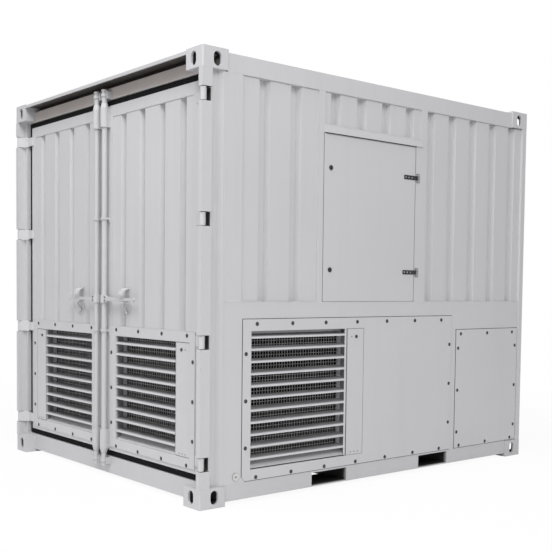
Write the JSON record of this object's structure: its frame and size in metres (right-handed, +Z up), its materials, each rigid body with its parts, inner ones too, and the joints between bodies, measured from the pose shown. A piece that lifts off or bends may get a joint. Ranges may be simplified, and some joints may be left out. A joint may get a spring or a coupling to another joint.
{
  "type": "generator load bank",
  "caption": "Generator load bank in a short freight-container frame, with louvred rear doors, corrugated walls, a control hatch, fan and resistor stack.",
  "frame": {"origin": "middle of the four corner castings' footprint, at ground level", "axes": "+Z up; the double doors face -Y; the control hatch side faces +X"},
  "size_m": [2.438, 2.991, 2.591],
  "materials": {
    "container_paint": "gloss",
    "louvre_paint": "gloss",
    "gear_paint": "gloss",
    "casting_paint": "gloss",
    "base_paint": "gloss",
    "gasket_rubber": "matt",
    "screen_steel": "galvanised",
    "hinge_steel": "satin",
    "latch_black": "matt",
    "pin_steel": "satin",
    "stainless": "satin",
    "galvanised": "galvanised",
    "motor_paint": "satin",
    "impeller_alloy": "satin",
    "element_steel": "heat tinted",
    "busbar_brass": "satin",
    "cabinet_paint": "powder coat"
  },
  "bodies": {
    "frame": {"air_duct": "galvanised", "base_rails": "base_paint", "cam_keepers": "gear_paint", "control_cabinet": "cabinet_paint", "control_door_frame": "container_paint", "control_hinges": "hinge_steel", "control_panel": "cabinet_paint", "corner_castings": "casting_paint", "corner_posts": "container_paint", "door_end_rails": "container_paint", "earth_boss": "stainless", "fan_motor": "motor_paint", "fan_shroud": "galvanised", "floor_plate": "base_paint", "fork_pockets": "base_paint", "hinge_pins": "pin_steel", "left_louvre_panel": "container_paint", "left_wall": "container_paint", "load_busbars": "busbar_brass", "lower_side_frames": "container_paint", "rear_end_rails": "container_paint", "rear_wall": "container_paint", "resistor_elements": "element_steel", "resistor_trays": "galvanised", "right_access_panel": "container_paint", "right_louvre_cover": "container_paint", "right_louvre_panel": "container_paint", "right_wall": "container_paint", "roof_exhaust_grille": "galvanised", "roof_panel": "container_paint", "side_louvre_blades": "louvre_paint", "side_louvre_screens": "screen_steel", "top_side_rails": "container_paint"},
    "right_door": {"right_door_bar_fittings": "gear_paint", "right_door_frame": "container_paint", "right_door_gasket": "gasket_rubber", "right_door_hinge_straps": "container_paint", "right_door_louvre_blades": "louvre_paint", "right_door_louvre_cover": "container_paint", "right_door_louvre_frame": "container_paint", "right_door_louvre_screen": "screen_steel", "right_door_panel": "container_paint"},
    "left_door": {"left_door_bar_fittings": "gear_paint", "left_door_frame": "container_paint", "left_door_gasket": "gasket_rubber", "left_door_hinge_straps": "container_paint", "left_door_louvre_blades": "louvre_paint", "left_door_louvre_cover": "container_paint", "left_door_louvre_frame": "container_paint", "left_door_louvre_screen": "screen_steel", "left_door_panel": "container_paint"},
    "right_lock_bar": {"right_bar_handle": "gear_paint", "right_lock_bar": "gear_paint"},
    "left_lock_bar": {"left_bar_handle": "gear_paint", "left_lock_bar": "gear_paint"},
    "control_door": {"control_door": "container_paint", "control_door_straps": "hinge_steel"},
    "control_latch_lower": {"control_latch_lower": "latch_black"},
    "control_latch_upper": {"control_latch_upper": "latch_black"},
    "fan": {"fan_impeller": "impeller_alloy"}
  },
  "joints": [
    {"name": "right_door_hinge", "type": "hinge", "parent": "frame", "child": "right_door", "pos_m": [1.2, -1.4765, 1.3], "axis": [0, 0, 1], "range_deg": [0, 235]},
    {"name": "left_door_hinge", "type": "hinge", "parent": "frame", "child": "left_door", "pos_m": [-1.2, -1.4765, 1.3], "axis": [0, 0, -1], "range_deg": [0, 235]},
    {"name": "right_lock_bar_turn", "type": "hinge", "parent": "right_door", "child": "right_lock_bar", "pos_m": [0.05, -1.4505, 1.3], "axis": [0, 0, -1], "range_deg": [0, 100]},
    {"name": "left_lock_bar_turn", "type": "hinge", "parent": "left_door", "child": "left_lock_bar", "pos_m": [-0.05, -1.4505, 1.3], "axis": [0, 0, 1], "range_deg": [0, 100]},
    {"name": "control_door_hinge", "type": "hinge", "parent": "frame", "child": "control_door", "pos_m": [1.2135, 0.276, 1.69], "axis": [0, 0, 1], "range_deg": [0, 120]},
    {"name": "control_latch_lower_turn", "type": "hinge", "parent": "control_door", "child": "control_latch_lower", "pos_m": [1.211, -0.517, 1.375], "axis": [1, 0, 0], "range_deg": [0, 90]},
    {"name": "control_latch_upper_turn", "type": "hinge", "parent": "control_door", "child": "control_latch_upper", "pos_m": [1.211, -0.517, 2.007], "axis": [1, 0, 0], "range_deg": [0, 90]},
    {"name": "fan_spin", "type": "hinge", "parent": "frame", "child": "fan", "pos_m": [-0.1, -0.3, 1.31], "axis": [0, 0, 1], "continuous": true}
  ]
}
